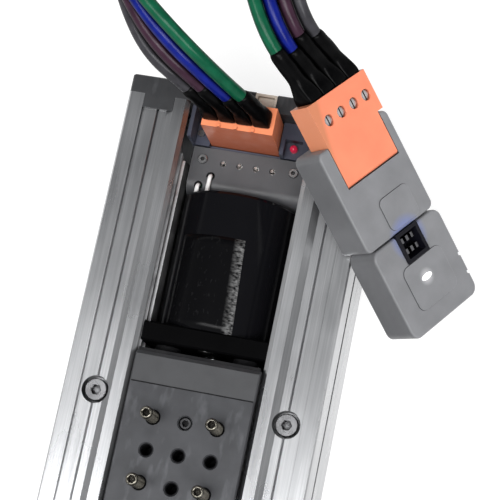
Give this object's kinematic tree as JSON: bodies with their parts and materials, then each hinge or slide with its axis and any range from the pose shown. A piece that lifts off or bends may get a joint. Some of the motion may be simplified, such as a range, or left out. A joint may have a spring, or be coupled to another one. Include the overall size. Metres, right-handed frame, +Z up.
{
  "type": "linear module",
  "caption": "Compact linear module: U-shaped rail profile with a ball guided carriage, lead screw, motor in the channel and a wired plug-in adapter.",
  "frame": {"origin": "middle of the underside of the base profile, without the harness and what hangs on it", "axes": "+X across the module to the right rail, +Y along it towards the motor and connector end, +Z up"},
  "size_m": [0.1347, 0.362, 0.0946],
  "materials": {
    "rail_aluminium": "satin extruded, clear anodised",
    "end_plate_anodised": "dark anodised, satin",
    "carriage_anodised": "dark grey anodised, satin",
    "guide_steel": "ground",
    "bearing_steel": "polished",
    "screw_steel": "zinc plated",
    "stud_steel": "plated, slightly warm",
    "motor_black": "gloss",
    "plate_black": "satin",
    "bracket_grey": "satin",
    "core_iron": "laminated",
    "nut_bronze": "machined",
    "rubber_black": "matt",
    "cap_plastic": "moulded",
    "housing_plastic": "moulded, dark blue grey",
    "board_green": "solder mask",
    "component_black": "moulded",
    "pin_metal": "tinned",
    "lamp_red": "clear red",
    "socket_ivory": "moulded",
    "plug_orange": "moulded, satin",
    "adapter_grey": "moulded",
    "socket_black": "moulded",
    "sleeve_black": "shrink sleeve",
    "wire_white": "silicone",
    "wire_grey": "vinyl",
    "wire_violet": "vinyl",
    "wire_blue": "vinyl",
    "wire_green": "vinyl"
  },
  "bodies": {
    "base": {"base_profile": "rail_aluminium", "motor_end_plate": "end_plate_anodised", "idle_end_plate": "end_plate_anodised", "end_plate_screws": "screw_steel", "rail_screws": "screw_steel", "guide_strip_left": "guide_steel", "guide_strip_right": "guide_steel", "motor_mount_plate": "plate_black", "motor_mount_screws": "screw_steel", "motor_face_screws": "screw_steel", "motor_shell": "motor_black", "motor_rear_cap": "motor_black", "motor_leads": "wire_white", "stator": "core_iron", "motor_bearings": "bearing_steel", "idle_bearing_block": "plate_black", "idle_bearing": "bearing_steel", "idle_block_screws": "screw_steel", "bumpers_motor_side": "rubber_black", "bumpers_idle_side": "rubber_black", "connector_bracket": "bracket_grey", "bracket_screws": "screw_steel", "pin_header": "pin_metal", "controller_board": "board_green", "board_posts": "pin_metal", "board_components": "component_black", "header_socket": "component_black", "connector_housing": "housing_plastic", "housing_screws": "screw_steel", "status_led": "lamp_red", "sensor_socket": "socket_ivory", "plug_module_body": "plug_orange", "plug_module_screws": "screw_steel", "sleeves_module": "sleeve_black", "sleeves_adapter": "sleeve_black", "plug_adapter_body": "plug_orange", "plug_adapter_screws": "screw_steel", "adapter_upper_housing": "adapter_grey", "adapter_lower_housing": "adapter_grey", "adapter_socket": "socket_black", "adapter_contacts": "pin_metal", "wire_grey": "wire_grey", "wire_violet": "wire_violet", "wire_blue": "wire_blue", "wire_green": "wire_green"},
    "screw": {"lead_screw": "bearing_steel", "rotor": "core_iron", "retaining_ring": "screw_steel"},
    "carriage": {"carriage_plate": "carriage_anodised", "carriage_block": "guide_steel", "guide_balls": "bearing_steel", "end_cap_front": "cap_plastic", "end_cap_rear": "cap_plastic", "wiper_front": "rubber_black", "wiper_rear": "rubber_black", "end_cap_screws": "screw_steel", "screw_nut": "nut_bronze", "nut_screws": "screw_steel", "carriage_studs": "stud_steel", "set_screw": "screw_steel"}
  },
  "joints": [
    {"name": "carriage_slide", "type": "slide", "parent": "base", "child": "carriage", "axis": [0, 1, 0], "range_m": [-0.12, 0]},
    {"name": "screw_spin", "type": "hinge", "parent": "base", "child": "screw", "pos_m": [0, 0, 0.025], "axis": [0, 1, 0], "range_deg": [0, 5400]}
  ],
  "couplings": [
    {"joint": "screw_spin", "follows": "carriage_slide", "rad_per_m": -785.4}
  ]
}
